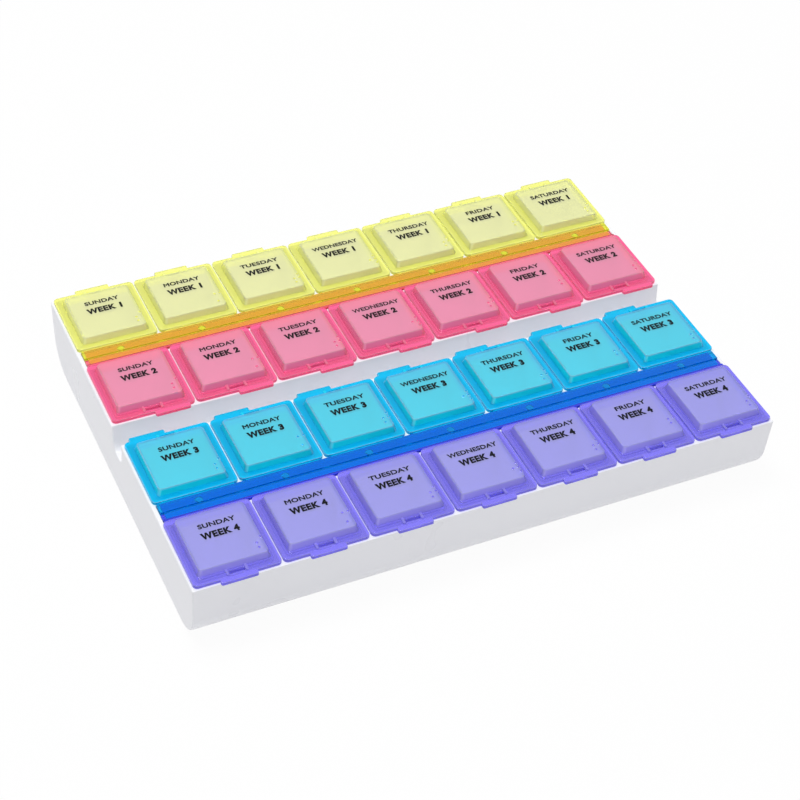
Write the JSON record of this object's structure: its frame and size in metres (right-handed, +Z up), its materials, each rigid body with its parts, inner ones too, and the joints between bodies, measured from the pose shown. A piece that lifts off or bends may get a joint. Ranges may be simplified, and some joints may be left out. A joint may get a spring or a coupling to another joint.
{
  "type": "monthly pill organizer",
  "caption": "Flat white tray of small day pockets in week rows, each pocket closed by its own translucent hinged lid with a lift tab.",
  "frame": {"origin": "centre of the tray's flat bottom, on the table", "axes": "+X along a week from Sunday to Saturday, +Y from the front week to the back week, +Z up"},
  "size_m": [0.231, 0.1666, 0.0331],
  "materials": {
    "white_plastic": "smooth moulded, soft gloss",
    "yellow_clear": "translucent, polished",
    "pink_clear": "translucent, polished",
    "cyan_clear": "translucent, polished",
    "violet_clear": "translucent, polished"
  },
  "bodies": {
    "tray": {"tray": "white_plastic", "rail_week_1": "yellow_clear", "rail_week_2": "pink_clear", "rail_week_3": "cyan_clear", "rail_week_4": "violet_clear"},
    "lid_week_1_sunday": {"lid_week_1_sunday": "yellow_clear"},
    "lid_week_1_monday": {"lid_week_1_monday": "yellow_clear"},
    "lid_week_1_tuesday": {"lid_week_1_tuesday": "yellow_clear"},
    "lid_week_1_wednesday": {"lid_week_1_wednesday": "yellow_clear"},
    "lid_week_1_thursday": {"lid_week_1_thursday": "yellow_clear"},
    "lid_week_1_friday": {"lid_week_1_friday": "yellow_clear"},
    "lid_week_1_saturday": {"lid_week_1_saturday": "yellow_clear"},
    "lid_week_2_sunday": {"lid_week_2_sunday": "pink_clear"},
    "lid_week_2_monday": {"lid_week_2_monday": "pink_clear"},
    "lid_week_2_tuesday": {"lid_week_2_tuesday": "pink_clear"},
    "lid_week_2_wednesday": {"lid_week_2_wednesday": "pink_clear"},
    "lid_week_2_thursday": {"lid_week_2_thursday": "pink_clear"},
    "lid_week_2_friday": {"lid_week_2_friday": "pink_clear"},
    "lid_week_2_saturday": {"lid_week_2_saturday": "pink_clear"},
    "lid_week_3_sunday": {"lid_week_3_sunday": "cyan_clear"},
    "lid_week_3_monday": {"lid_week_3_monday": "cyan_clear"},
    "lid_week_3_tuesday": {"lid_week_3_tuesday": "cyan_clear"},
    "lid_week_3_wednesday": {"lid_week_3_wednesday": "cyan_clear"},
    "lid_week_3_thursday": {"lid_week_3_thursday": "cyan_clear"},
    "lid_week_3_friday": {"lid_week_3_friday": "cyan_clear"},
    "lid_week_3_saturday": {"lid_week_3_saturday": "cyan_clear"},
    "lid_week_4_sunday": {"lid_week_4_sunday": "violet_clear"},
    "lid_week_4_monday": {"lid_week_4_monday": "violet_clear"},
    "lid_week_4_tuesday": {"lid_week_4_tuesday": "violet_clear"},
    "lid_week_4_wednesday": {"lid_week_4_wednesday": "violet_clear"},
    "lid_week_4_thursday": {"lid_week_4_thursday": "violet_clear"},
    "lid_week_4_friday": {"lid_week_4_friday": "violet_clear"},
    "lid_week_4_saturday": {"lid_week_4_saturday": "violet_clear"}
  },
  "joints": [
    {"name": "hinge_week_1_sunday", "type": "hinge", "parent": "tray", "child": "lid_week_1_sunday", "pos_m": [-0.09855, 0.0482, 0.0297], "axis": [1, 0, 0], "range_deg": [0, 90]},
    {"name": "hinge_week_1_monday", "type": "hinge", "parent": "tray", "child": "lid_week_1_monday", "pos_m": [-0.0657, 0.0482, 0.0297], "axis": [1, 0, 0], "range_deg": [0, 90]},
    {"name": "hinge_week_1_tuesday", "type": "hinge", "parent": "tray", "child": "lid_week_1_tuesday", "pos_m": [-0.03285, 0.0482, 0.0297], "axis": [1, 0, 0], "range_deg": [0, 90]},
    {"name": "hinge_week_1_wednesday", "type": "hinge", "parent": "tray", "child": "lid_week_1_wednesday", "pos_m": [0, 0.0482, 0.0297], "axis": [1, 0, 0], "range_deg": [0, 90]},
    {"name": "hinge_week_1_thursday", "type": "hinge", "parent": "tray", "child": "lid_week_1_thursday", "pos_m": [0.03285, 0.0482, 0.0297], "axis": [1, 0, 0], "range_deg": [0, 90]},
    {"name": "hinge_week_1_friday", "type": "hinge", "parent": "tray", "child": "lid_week_1_friday", "pos_m": [0.0657, 0.0482, 0.0297], "axis": [1, 0, 0], "range_deg": [0, 90]},
    {"name": "hinge_week_1_saturday", "type": "hinge", "parent": "tray", "child": "lid_week_1_saturday", "pos_m": [0.09855, 0.0482, 0.0297], "axis": [1, 0, 0], "range_deg": [0, 90]},
    {"name": "hinge_week_2_sunday", "type": "hinge", "parent": "tray", "child": "lid_week_2_sunday", "pos_m": [-0.09855, 0.0392, 0.0297], "axis": [-1, 0, 0], "range_deg": [0, 90]},
    {"name": "hinge_week_2_monday", "type": "hinge", "parent": "tray", "child": "lid_week_2_monday", "pos_m": [-0.0657, 0.0392, 0.0297], "axis": [-1, 0, 0], "range_deg": [0, 90]},
    {"name": "hinge_week_2_tuesday", "type": "hinge", "parent": "tray", "child": "lid_week_2_tuesday", "pos_m": [-0.03285, 0.0392, 0.0297], "axis": [-1, 0, 0], "range_deg": [0, 90]},
    {"name": "hinge_week_2_wednesday", "type": "hinge", "parent": "tray", "child": "lid_week_2_wednesday", "pos_m": [0, 0.0392, 0.0297], "axis": [-1, 0, 0], "range_deg": [0, 90]},
    {"name": "hinge_week_2_thursday", "type": "hinge", "parent": "tray", "child": "lid_week_2_thursday", "pos_m": [0.03285, 0.0392, 0.0297], "axis": [-1, 0, 0], "range_deg": [0, 90]},
    {"name": "hinge_week_2_friday", "type": "hinge", "parent": "tray", "child": "lid_week_2_friday", "pos_m": [0.0657, 0.0392, 0.0297], "axis": [-1, 0, 0], "range_deg": [0, 90]},
    {"name": "hinge_week_2_saturday", "type": "hinge", "parent": "tray", "child": "lid_week_2_saturday", "pos_m": [0.09855, 0.0392, 0.0297], "axis": [-1, 0, 0], "range_deg": [0, 90]},
    {"name": "hinge_week_3_sunday", "type": "hinge", "parent": "tray", "child": "lid_week_3_sunday", "pos_m": [-0.09855, -0.0392, 0.0297], "axis": [1, 0, 0], "range_deg": [0, 90]},
    {"name": "hinge_week_3_monday", "type": "hinge", "parent": "tray", "child": "lid_week_3_monday", "pos_m": [-0.0657, -0.0392, 0.0297], "axis": [1, 0, 0], "range_deg": [0, 90]},
    {"name": "hinge_week_3_tuesday", "type": "hinge", "parent": "tray", "child": "lid_week_3_tuesday", "pos_m": [-0.03285, -0.0392, 0.0297], "axis": [1, 0, 0], "range_deg": [0, 90]},
    {"name": "hinge_week_3_wednesday", "type": "hinge", "parent": "tray", "child": "lid_week_3_wednesday", "pos_m": [0, -0.0392, 0.0297], "axis": [1, 0, 0], "range_deg": [0, 90]},
    {"name": "hinge_week_3_thursday", "type": "hinge", "parent": "tray", "child": "lid_week_3_thursday", "pos_m": [0.03285, -0.0392, 0.0297], "axis": [1, 0, 0], "range_deg": [0, 90]},
    {"name": "hinge_week_3_friday", "type": "hinge", "parent": "tray", "child": "lid_week_3_friday", "pos_m": [0.0657, -0.0392, 0.0297], "axis": [1, 0, 0], "range_deg": [0, 90]},
    {"name": "hinge_week_3_saturday", "type": "hinge", "parent": "tray", "child": "lid_week_3_saturday", "pos_m": [0.09855, -0.0392, 0.0297], "axis": [1, 0, 0], "range_deg": [0, 90]},
    {"name": "hinge_week_4_sunday", "type": "hinge", "parent": "tray", "child": "lid_week_4_sunday", "pos_m": [-0.09855, -0.0482, 0.0297], "axis": [-1, 0, 0], "range_deg": [0, 90]},
    {"name": "hinge_week_4_monday", "type": "hinge", "parent": "tray", "child": "lid_week_4_monday", "pos_m": [-0.0657, -0.0482, 0.0297], "axis": [-1, 0, 0], "range_deg": [0, 90]},
    {"name": "hinge_week_4_tuesday", "type": "hinge", "parent": "tray", "child": "lid_week_4_tuesday", "pos_m": [-0.03285, -0.0482, 0.0297], "axis": [-1, 0, 0], "range_deg": [0, 90]},
    {"name": "hinge_week_4_wednesday", "type": "hinge", "parent": "tray", "child": "lid_week_4_wednesday", "pos_m": [0, -0.0482, 0.0297], "axis": [-1, 0, 0], "range_deg": [0, 90]},
    {"name": "hinge_week_4_thursday", "type": "hinge", "parent": "tray", "child": "lid_week_4_thursday", "pos_m": [0.03285, -0.0482, 0.0297], "axis": [-1, 0, 0], "range_deg": [0, 90]},
    {"name": "hinge_week_4_friday", "type": "hinge", "parent": "tray", "child": "lid_week_4_friday", "pos_m": [0.0657, -0.0482, 0.0297], "axis": [-1, 0, 0], "range_deg": [0, 90]},
    {"name": "hinge_week_4_saturday", "type": "hinge", "parent": "tray", "child": "lid_week_4_saturday", "pos_m": [0.09855, -0.0482, 0.0297], "axis": [-1, 0, 0], "range_deg": [0, 90]}
  ]
}
